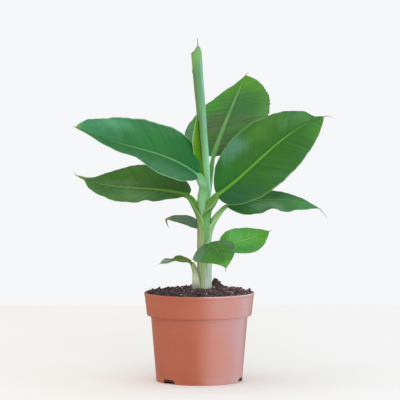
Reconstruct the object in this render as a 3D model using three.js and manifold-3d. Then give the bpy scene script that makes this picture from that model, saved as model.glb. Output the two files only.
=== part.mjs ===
// A young banana plant in a round nursery pot.
// Millimetres, +Z up. The origin is the centre of the pot's flat underside,
// +X is to the plant's right and +Y to its back.
//
// Bearings are degrees round +Z from +X. Climbs are degrees above level.
import * as THREE from 'three';
import { mergeVertices } from 'three/addons/utils/BufferGeometryUtils.js';
import Module from 'manifold-3d';

const wasm = await Module();
wasm.setup();

// ---- driving dimensions -------------------------------------------------

const GAP = 0.3; // clearance kept between neighbouring solids

const POT = {
  height: 97,
  rimRadius: 60,
  bandHeight: 25, // the thick band round the rim
  bandRadius: 57, // outside of the band at its lower edge
  shoulderRadius: 52.8, // outside of the wall just under the band
  footRadius: 46.8,
  footEdge: 1, // bevel round the underside
  wall: 1.6,
  floor: 2,
  lip: 1.2, // rounding at the top of the rim
  sides: 48,
};

const NOTCH = { width: 17, height: 5, depth: 5, count: 3, firstBearing: 225 };

const SOIL = {
  edge: 95.8, // mean height where it meets the pot
  tilt: 0.028, // it lies higher towards the pot's back
  crown: 100.8, // height round the stem
  unevenness: 0.9,
  waves: { x: 0.31, shift: 0.6, y: 0.27, cross: 0.23, crossShare: 0.6 }, // radians for each mm
  crownRadius: 15, // level ground round the stem
  moundClearance: 5, // the mound fades out over this width before it reaches the crown
  mound: { x: 17.5, y: 9, height: 9, radius: 7 },
  sides: 32,
  rings: 6,
};

// Sections of the false stem: height, centre and half width.
const STEM = {
  sections: [
    { z: SOIL.crown + GAP, x: 5.7, radius: 8.2 },
    { z: 127, x: 5.8, radius: 7.9 },
    { z: 154, x: 5.6, radius: 7.8 },
    { z: 176, x: 5.4, radius: 7.4 },
    { z: 196, x: 5.2, radius: 6.8 },
  ],
  flatness: 0.88, // depth over width
  sides: 20,
};

// The youngest leaf, still rolled up.
const FURLED = {
  foot: [9.6, 1.8, 196 + GAP],
  top: [-3.2, 1.8, 354],
  radii: [3.6, 4.3, 5.2, 5.5, 5.9, 6.2],
  pointLength: 12,
  pointLean: 1.5, // towards +X
  pointRadius: 1,
  bristleLength: 9,
  bristleLean: -1,
  bristleRadius: 0.5,
  sides: 12,
};

const BLADE = {
  thickness: 0.8,
  ribDepth: [2.4, 0.6], // how far the midrib stands below the blade, foot and tip
  leastHalfWidth: 1.2,
  footRoundness: 0.5, // 0.5 is a quarter ellipse
  pathSteps: 24, // steps that add up the midrib's path
  stations: 14,
  strips: 3, // on each side of the midrib
};

const TAIL = { steps: 2, shrink: [0.6, 0.35] }; // the dry bristle on a leaf's tip, start and end

const STALK = {
  flatness: 0.75, // depth over width
  setBack: 0.9, // the stalk ends this far before the blade's foot
  sides: 10,
  steps: 8,
};

// One entry for each open leaf. A blade starts at its foot, heads off on its bearing and climbs
// by the three slopes given for its foot, middle and tip. It is rolled about its midrib, folded up
// into a trough (degrees at foot and tip) and curls (degrees) towards its margins. Each half has
// its half width, where along the blade that is, and how hard it tapers from there to the tip.
// The stalk starts inside the stem (or on the soil), rises, and reaches the foot at its own slope.
const LEAVES = {
  high_left: {
    colour: 0x3b7645,
    foot: [-0.5, -11.5, 224.5], length: 149.5, bearing: 198, climb: [40, 15, 29],
    roll: -52, trough: [10, 24], curl: -6,
    left: { width: 31, widest: 0.33, taper: 2.1 },
    right: { width: 37.5, widest: 0.27, taper: 0.62 },
    tail: { length: 4, bearing: 198, climb: 10 },
    stalk: { start: [6, -4.5, 190], rise: 12, reach: 10, slope: 62, width: [13, 6] },
  },
  low_left: {
    colour: 0x3d6236,
    foot: [-12, 0, 202.5], length: 130, bearing: 165, climb: [16, 3, 26],
    roll: -42, trough: [12, 12], curl: 0,
    left: { width: 28, widest: 0.52, taper: 1.4 },
    right: { width: 31.5, widest: 0.42, taper: 1.9 },
    tail: { length: 5, bearing: 165, climb: 50 },
    stalk: { start: [4, -1, 150], rise: 26, reach: 18, slope: 52, width: [9, 6] },
  },
  back_right: {
    colour: 0x3d6d38,
    foot: [15, 14, 245.5], length: 149, bearing: 72, climb: [40, 35, 34],
    roll: 0, trough: [8, 4], curl: -10,
    left: { width: 42, widest: 0.29, taper: 1.35 },
    right: { width: 46, widest: 0.45, taper: 0.7 },
    tail: { length: 7, bearing: 50, climb: 50 },
    stalk: { start: [11, 4.5, 178], rise: 24, reach: 24, slope: 78, width: [5, 4.4] },
  },
  big_right: {
    colour: 0x397123,
    foot: [19, -14, 203], length: 147.5, bearing: -15, climb: [33, 41.5, 17],
    roll: 72, trough: [8, 8], curl: -5,
    left: { width: 39, widest: 0.4, taper: 1.0 },
    right: { width: 40, widest: 0.48, taper: 0.6 },
    tail: { length: 12, bearing: -15, climb: 0 },
    stalk: { start: [8, -3, 162], rise: 16, reach: 12, slope: 55, width: [9, 6] },
  },
  drooping_right: {
    colour: 0x437b46,
    foot: [30, 4, 191.5], length: 107, bearing: 12, climb: [10, 0, -27],
    roll: 32, trough: [8, 0], curl: -8,
    left: { width: 18, widest: 0.4, taper: 1.15 },
    right: { width: 26, widest: 0.35, taper: 1.0 },
    tail: { length: 11, bearing: 12, climb: -52 },
    stalk: { start: [8, 0, 144], rise: 18, reach: 15, slope: 43, width: [8, 5] },
  },
  small_left: {
    colour: 0x567a5c,
    foot: [1, 14, 166], length: 43, bearing: 155, climb: [36, 11, 2],
    roll: -18, trough: [8, 10], curl: -6,
    left: { width: 9.5, widest: 0.4, taper: 0.8 },
    right: { width: 12.5, widest: 0.5, taper: 0.5 },
    tail: { length: 9, bearing: 155, climb: -80 },
    stalk: { start: [5, 2, 136], rise: 8, reach: 10, slope: 62, width: [5, 3] },
  },
  sprout_left: {
    colour: 0x5b773d,
    foot: [-8.7, -6, 130.5], length: 35, bearing: 192, climb: [22, -4, -18],
    roll: -14, trough: [6, 10], curl: -6,
    left: { width: 12, widest: 0.45, taper: 0.8 },
    right: { width: 13, widest: 0.45, taper: 0.8 },
    tail: { length: 3, bearing: 192, climb: -35 },
    stalk: { start: [-3.2, -7, SOIL.crown + GAP], rise: 11, reach: 9, slope: 55, width: [9, 5.2] },
  },
  small_front: {
    colour: 0x4c8137,
    foot: [10.5, -22, 152], length: 55, bearing: 292, climb: [-8, -24, -56],
    roll: 23, trough: [2, 4], curl: -18,
    left: { width: 21, widest: 0.34, taper: 1.0 },
    right: { width: 27.5, widest: 0.36, taper: 1.5 },
    tail: { length: 5, bearing: 292, climb: -88 },
    stalk: { start: [7, -3, 112], rise: 14, reach: 12, slope: 55, width: [6, 3.5] },
  },
  small_right: {
    colour: 0x5b963f,
    foot: [22.5, 4, 147.5], length: 60, bearing: 20, climb: [8, 13, 23],
    roll: 45, trough: [12, 4], curl: -5,
    left: { width: 17.5, widest: 0.38, taper: 0.9 },
    right: { width: 20, widest: 0.5, taper: 1.1 },
    tail: { length: 3, bearing: 20, climb: 20 },
    stalk: { start: [9, 1, 122], rise: 10, reach: 8, slope: 32, width: [6, 3.5] },
  },
};

const FINISH = {
  pot: { color: 0xc3785f, roughness: 0.45 },
  soil: { color: 0x42322d, roughness: 0.95 },
  stem: { color: 0x97b989, roughness: 0.5 },
  stalk: { color: 0x86a36f, roughness: 0.5 },
  furled: { color: 0x88be96, roughness: 0.45 },
  bladeRoughness: 0.4,
};

// ---- small helpers ------------------------------------------------------

const radians = THREE.MathUtils.degToRad;
const lerp = THREE.MathUtils.lerp;

// The smooth curve through three values at t = 0, 0.5 and 1.
function through([first, middle, last], t) {
  return first * (1 - t) * (1 - 2 * t) + middle * 4 * t * (1 - t) + last * t * (2 * t - 1);
}

function heading(bearing, climb) {
  const level = Math.cos(radians(climb));
  return new THREE.Vector3(
    level * Math.cos(radians(bearing)),
    level * Math.sin(radians(bearing)),
    Math.sin(radians(climb)),
  );
}

// Level direction to the left of a bearing.
function leftOf(bearing) {
  return new THREE.Vector3(-Math.sin(radians(bearing)), Math.cos(radians(bearing)), 0);
}

function middleOf(ring) {
  const sum = ring.reduce((total, point) => total.add(point), new THREE.Vector3());
  return sum.divideScalar(ring.length);
}

// A closed solid skinned over rings of equally many points, with a fan over each end ring.
// Rings run anticlockwise as seen from the last ring looking back to the first.
function skin(rings) {
  const count = rings[0].length;
  const points = [...rings.flat(), middleOf(rings[0]), middleOf(rings.at(-1))];
  const firstMiddle = points.length - 2;
  const lastMiddle = points.length - 1;
  const lastRing = (rings.length - 1) * count;
  const faces = [];
  for (let k = 0; k < count; k++) {
    const next = (k + 1) % count;
    for (let row = 0; row < rings.length - 1; row++) {
      const low = row * count;
      const high = low + count;
      faces.push(low + k, low + next, high + next);
      faces.push(low + k, high + next, high + k);
    }
    faces.push(firstMiddle, next, k);
    faces.push(lastMiddle, lastRing + k, lastRing + next);
  }
  const geometry = new THREE.BufferGeometry();
  const positions = points.flatMap((point) => point.toArray());
  geometry.setAttribute('position', new THREE.Float32BufferAttribute(positions, 3));
  geometry.setIndex(faces);
  return geometry;
}

function ellipseRing(centre, across, upward, halfAcross, halfUpward, sides) {
  return Array.from({ length: sides }, (_, k) => {
    const turn = (2 * Math.PI * k) / sides;
    return centre.clone()
      .addScaledVector(across, halfAcross * Math.cos(turn))
      .addScaledVector(upward, halfUpward * Math.sin(turn));
  });
}

function solidFrom(geometry) {
  const bare = geometry.clone();
  bare.deleteAttribute('normal');
  bare.deleteAttribute('uv');
  const merged = mergeVertices(bare, 1e-4);
  return new wasm.Manifold(new wasm.Mesh({
    numProp: 3,
    vertProperties: new Float32Array(merged.attributes.position.array),
    triVerts: new Uint32Array(merged.index.array),
  }));
}

function geometryFrom(solid) {
  const mesh = solid.getMesh();
  const geometry = new THREE.BufferGeometry();
  geometry.setAttribute('position', new THREE.BufferAttribute(mesh.vertProperties, 3));
  geometry.setIndex(new THREE.BufferAttribute(mesh.triVerts, 1));
  return geometry;
}

// The piece with every one of the cutters taken away.
function cut(geometry, cutters) {
  const start = solidFrom(geometry);
  return geometryFrom(cutters.reduce((solid, cutter) => solid.subtract(solidFrom(cutter)), start));
}

// ---- pot and soil -------------------------------------------------------

// Lathe a profile of [radius, height] pairs about +Z.
function turned(profile, sides) {
  const geometry = new THREE.LatheGeometry(profile.map(([r, z]) => new THREE.Vector2(r, z)), sides);
  return geometry.rotateX(Math.PI / 2);
}

function innerRadiusAt(z) {
  const bandFoot = POT.height - POT.bandHeight;
  if (z > bandFoot) {
    const up = (z - bandFoot) / POT.bandHeight;
    return lerp(POT.bandRadius, POT.rimRadius, up) - POT.wall;
  }
  return lerp(POT.footRadius, POT.shoulderRadius, z / bandFoot) - POT.wall;
}

function potGeometry() {
  const bandFoot = POT.height - POT.bandHeight;
  const innerStep = bandFoot + POT.wall;
  const profile = [
    [0, 0],
    [POT.footRadius - POT.footEdge, 0],
    [POT.footRadius, POT.footEdge],
    [POT.shoulderRadius, bandFoot],
    [POT.bandRadius, bandFoot],
    [POT.rimRadius, POT.height - POT.lip],
    [POT.rimRadius - POT.wall / 2, POT.height],
    [POT.rimRadius - POT.wall, POT.height - POT.lip],
    [innerRadiusAt(innerStep), innerStep],
    [POT.shoulderRadius - POT.wall, innerStep],
    [innerRadiusAt(POT.floor), POT.floor],
    [0, POT.floor],
  ];
  const notches = Array.from({ length: NOTCH.count }, (_, k) => {
    const bearing = NOTCH.firstBearing + (360 * k) / NOTCH.count;
    const box = new THREE.BoxGeometry(NOTCH.depth * 2, NOTCH.width, NOTCH.height * 2);
    box.translate(POT.footRadius, 0, 0);
    return box.rotateZ(radians(bearing));
  });
  return cut(turned(profile, POT.sides), notches);
}

function soilHeight(x, y) {
  const { crown, crownRadius, edge, tilt, moundClearance, mound, unevenness, waves } = SOIL;
  const { smoothstep } = THREE.MathUtils;
  const away = Math.hypot(x - STEM.sections[0].x, y);
  const toEdge = smoothstep(away, crownRadius, POT.rimRadius);
  const across = Math.sin(waves.x * x + waves.shift) * Math.cos(waves.y * y);
  const slanting = waves.crossShare * Math.sin(waves.cross * (x - y));
  // The waves are strongest between the stem and the pot.
  const rough = unevenness * (across + slanting) * Math.min(1, toEdge * 3) * (1 - toEdge / 2);
  const fromMound = Math.hypot(x - mound.x, y - mound.y) / mound.radius;
  const heap = mound.height * Math.exp(-fromMound * fromMound);
  const clearOfStem = smoothstep(away, crownRadius - moundClearance, crownRadius);
  return lerp(crown, edge + tilt * y, toEdge) + rough + heap * clearOfStem;
}

function soilGeometry() {
  const bandFoot = POT.height - POT.bandHeight;
  const ringAt = (radius, z) => Array.from({ length: SOIL.sides }, (_, k) => {
    const turn = (2 * Math.PI * k) / SOIL.sides;
    return new THREE.Vector3(radius * Math.cos(turn), radius * Math.sin(turn), z);
  });
  // The pot's wall is faceted, so the soil stays inside the flats.
  const flats = Math.cos(Math.PI / POT.sides);
  const inside = (z) => innerRadiusAt(z) * flats - GAP;
  const ledge = bandFoot + POT.wall + GAP;
  const rings = [
    ringAt(inside(POT.floor), POT.floor + GAP),
    ringAt((POT.shoulderRadius - POT.wall) * flats - GAP, ledge),
    ringAt(inside(ledge), ledge),
  ];
  for (let k = 0; k < SOIL.rings; k++) {
    const radius = inside(SOIL.edge) * (1 - k / SOIL.rings);
    rings.push(ringAt(radius, 0).map(({ x, y }) => new THREE.Vector3(x, y, soilHeight(x, y))));
  }
  return skin(rings);
}

// ---- stem and furled leaf -----------------------------------------------

function stemGeometry(extra = 0) {
  const across = new THREE.Vector3(1, 0, 0);
  const depth = new THREE.Vector3(0, 1, 0);
  const last = STEM.sections.length - 1;
  return skin(STEM.sections.map(({ x, z, radius }, k) => {
    const overshoot = { 0: -extra, [last]: extra }[k] ?? 0;
    const centre = new THREE.Vector3(x, 0, z + overshoot);
    const halfDepth = radius * STEM.flatness;
    return ellipseRing(centre, across, depth, radius + extra, halfDepth + extra, STEM.sides);
  }));
}

function furledGeometry(extra = 0) {
  const foot = new THREE.Vector3(...FURLED.foot);
  const top = new THREE.Vector3(...FURLED.top);
  const across = new THREE.Vector3(1, 0, 0);
  const depth = new THREE.Vector3(0, 1, 0);
  const ring = (centre, radius) => {
    return ellipseRing(centre, across, depth, radius + extra, radius + extra, FURLED.sides);
  };
  const rings = FURLED.radii.map((radius, k) => {
    return ring(foot.clone().lerp(top, k / (FURLED.radii.length - 1)), radius);
  });
  const point = top.clone().add(new THREE.Vector3(FURLED.pointLean, 0, FURLED.pointLength));
  const bristle = new THREE.Vector3(FURLED.bristleLean, 0, FURLED.bristleLength);
  const bristleTip = point.clone().add(bristle);
  rings.push(ring(point, FURLED.pointRadius));
  rings.push(ring(bristleTip, FURLED.bristleRadius));
  return skin(rings);
}

// ---- leaves -------------------------------------------------------------

function halfWidth(half, t) {
  if (t < half.widest) {
    const inward = 1 - t / half.widest;
    return half.width * (1 - inward * inward) ** BLADE.footRoundness;
  }
  const outward = (t - half.widest) / (1 - half.widest);
  return half.width * (1 - outward * outward) ** half.taper;
}

// The direction along the midrib at t, with the blade's own left and up.
function bladeFrame(leaf, t) {
  const along = heading(leaf.bearing, through(leaf.climb, t));
  const level = leftOf(leaf.bearing);
  const raised = along.clone().cross(level);
  const roll = radians(leaf.roll);
  return {
    along,
    left: level.clone().multiplyScalar(Math.cos(roll)).addScaledVector(raised, Math.sin(roll)),
    up: raised.clone().multiplyScalar(Math.cos(roll)).addScaledVector(level, -Math.sin(roll)),
  };
}

function midribPoint(leaf, t) {
  const point = new THREE.Vector3(...leaf.foot);
  for (let k = 0; k < BLADE.pathSteps; k++) {
    const middle = ((k + 0.5) / BLADE.pathSteps) * t;
    const direction = heading(leaf.bearing, through(leaf.climb, middle));
    point.addScaledVector(direction, (leaf.length * t) / BLADE.pathSteps);
  }
  return point;
}

// Points from the midrib out to one margin, with the blade's normal at each.
function halfSection(leaf, t, side, extra) {
  const { left, up } = bladeFrame(leaf, t);
  const outward = side === 'left' ? 1 : -1;
  const reach = Math.max(halfWidth(leaf[side], t), BLADE.leastHalfWidth) + extra;
  const step = reach / BLADE.strips;
  const fold = lerp(leaf.trough[0], leaf.trough[1], t);
  const points = [];
  const point = midribPoint(leaf, t);
  for (let k = 1; k <= BLADE.strips; k++) {
    const angle = radians(fold + (leaf.curl * (k - 0.5)) / BLADE.strips);
    point.addScaledVector(left, outward * step * Math.cos(angle));
    point.addScaledVector(up, step * Math.sin(angle));
    const normal = up.clone().multiplyScalar(Math.cos(angle));
    normal.addScaledVector(left, -outward * Math.sin(angle));
    points.push({ point: point.clone(), normal });
  }
  return points;
}

function bladeRing(leaf, t, extra) {
  const { up } = bladeFrame(leaf, t);
  const half = BLADE.thickness / 2 + extra;
  const middle = midribPoint(leaf, t);
  const left = halfSection(leaf, t, 'left', extra);
  const right = halfSection(leaf, t, 'right', extra);
  const offset = (list, amount) => list.map(({ point, normal }) => {
    return point.clone().addScaledVector(normal, amount);
  });
  const ribDepth = half + lerp(BLADE.ribDepth[0], BLADE.ribDepth[1], t);
  return [
    ...offset(left, half).reverse(),
    middle.clone().addScaledVector(up, half),
    ...offset(right, half),
    ...offset(right, -half).reverse(),
    middle.clone().addScaledVector(up, -ribDepth),
    ...offset(left, -half),
  ];
}

// The bristle's rings shrink the tip ring about its middle and carry it on.
function tailRings(leaf, tipRing) {
  const middle = middleOf(tipRing);
  const direction = heading(leaf.tail.bearing, leaf.tail.climb);
  return Array.from({ length: TAIL.steps }, (_, k) => {
    const far = (k + 1) / TAIL.steps;
    const shrink = lerp(TAIL.shrink[0], TAIL.shrink[1], far);
    const shift = direction.clone().multiplyScalar(leaf.tail.length * far);
    return tipRing.map((point) => point.clone().sub(middle).multiplyScalar(shrink).add(middle).add(shift));
  });
}

function bladeGeometry(leaf, extra = 0) {
  const rings = [];
  for (let k = 0; k <= BLADE.stations; k++) {
    const t = (1 - Math.cos((Math.PI * k) / BLADE.stations)) / 2;
    rings.push(bladeRing(leaf, t, extra));
  }
  const { along } = bladeFrame(leaf, 0);
  rings[0].forEach((point) => point.addScaledVector(along, -extra));
  return skin([...rings, ...tailRings(leaf, rings.at(-1))]);
}

function stalkGeometry(leaf, extra = 0) {
  const { start, rise, reach, slope, width } = leaf.stalk;
  const first = new THREE.Vector3(...start);
  const into = heading(leaf.bearing, leaf.climb[0]);
  const last = new THREE.Vector3(...leaf.foot).addScaledVector(into, -STALK.setBack);
  const level = new THREE.Vector3(last.x - first.x, last.y - first.y, 0).normalize();
  const arrival = level.clone().multiplyScalar(Math.cos(radians(slope)));
  arrival.z = Math.sin(radians(slope));
  const curve = new THREE.CubicBezierCurve3(
    first,
    first.clone().add(new THREE.Vector3(0, 0, rise)),
    last.clone().addScaledVector(arrival, -reach),
    last,
  );
  const across = new THREE.Vector3(-level.y, level.x, 0);
  const rings = [];
  for (let k = 0; k <= STALK.steps; k++) {
    const t = k / STALK.steps;
    const upward = curve.getTangent(t).cross(across).normalize();
    const half = lerp(width[0], width[1], t) / 2;
    rings.push(ellipseRing(
      curve.getPoint(t), across, upward, half + extra, half * STALK.flatness + extra, STALK.sides,
    ));
  }
  return skin(rings);
}

// ---- assembly -----------------------------------------------------------

const plant = new THREE.Group();

function place(name, geometry, look) {
  const mesh = new THREE.Mesh(geometry, new THREE.MeshStandardMaterial({ metalness: 0, ...look }));
  mesh.name = name;
  plant.add(mesh);
}

const grownCore = [stemGeometry(GAP), furledGeometry(GAP)];
const grownSprout = stalkGeometry(LEAVES.sprout_left, GAP);

place('pot', potGeometry(), FINISH.pot);
place('soil', cut(soilGeometry(), [...grownCore, grownSprout]), FINISH.soil);
place('pseudostem', stemGeometry(), FINISH.stem);
place('furled_leaf', furledGeometry(), FINISH.furled);

// Each stalk gives way to the core, to every blade and to the stalks placed before it.
const cutters = [...grownCore, ...Object.values(LEAVES).map((leaf) => bladeGeometry(leaf, GAP))];
for (const [name, leaf] of Object.entries(LEAVES)) {
  place(`leaf_${name}`, bladeGeometry(leaf), { color: leaf.colour, roughness: FINISH.bladeRoughness });
  place(`stalk_${name}`, cut(stalkGeometry(leaf), cutters), FINISH.stalk);
  cutters.push(stalkGeometry(leaf, GAP));
}

export default plant;
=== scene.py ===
"""The looks of a young banana plant in a nursery pot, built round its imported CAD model.

Shapes are worked out in millimetres and turned into metres as each mesh is made. Bearings are
degrees round +Z from +X, and climbs are degrees above level. The camera stands on the -Y side.
"""

import math
from types import SimpleNamespace as Values

import bmesh
import bpy
import numpy as np
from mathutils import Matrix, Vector, noise


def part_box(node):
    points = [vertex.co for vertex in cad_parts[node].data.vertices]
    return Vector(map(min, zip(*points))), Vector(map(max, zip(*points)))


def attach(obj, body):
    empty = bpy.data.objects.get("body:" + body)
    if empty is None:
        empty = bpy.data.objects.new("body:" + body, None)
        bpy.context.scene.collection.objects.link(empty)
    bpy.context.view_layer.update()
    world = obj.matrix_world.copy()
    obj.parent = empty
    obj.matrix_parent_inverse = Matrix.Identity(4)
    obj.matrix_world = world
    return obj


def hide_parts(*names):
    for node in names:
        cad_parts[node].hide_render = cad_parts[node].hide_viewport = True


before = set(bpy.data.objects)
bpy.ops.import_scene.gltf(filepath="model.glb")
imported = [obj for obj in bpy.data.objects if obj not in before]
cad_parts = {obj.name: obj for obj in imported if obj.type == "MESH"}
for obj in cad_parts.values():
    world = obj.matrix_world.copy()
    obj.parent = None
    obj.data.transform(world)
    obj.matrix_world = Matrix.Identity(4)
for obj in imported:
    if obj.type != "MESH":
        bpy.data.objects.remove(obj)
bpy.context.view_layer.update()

# ---- sizes and looks -------------------------------------------------------

METRES = 0.001
LEFT, RIGHT = 0, 1


def leaf_of(**own):
    """A leaf's numbers, over the ones that most leaves share."""
    shared = dict(
        ruffles=(), lobes=(0, 0), slants=(0.85, 0.85), crimp=None, streaks=None,
        rib_fade=(0.7, 0.95), flank_at=0.12, low_rim=(190, 214, 160),
        tip_climb=own["tail"][2], tip_bend=(0, 0, 0.8), tip_thick=0.5)
    return Values(**{**shared, **own})


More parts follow.
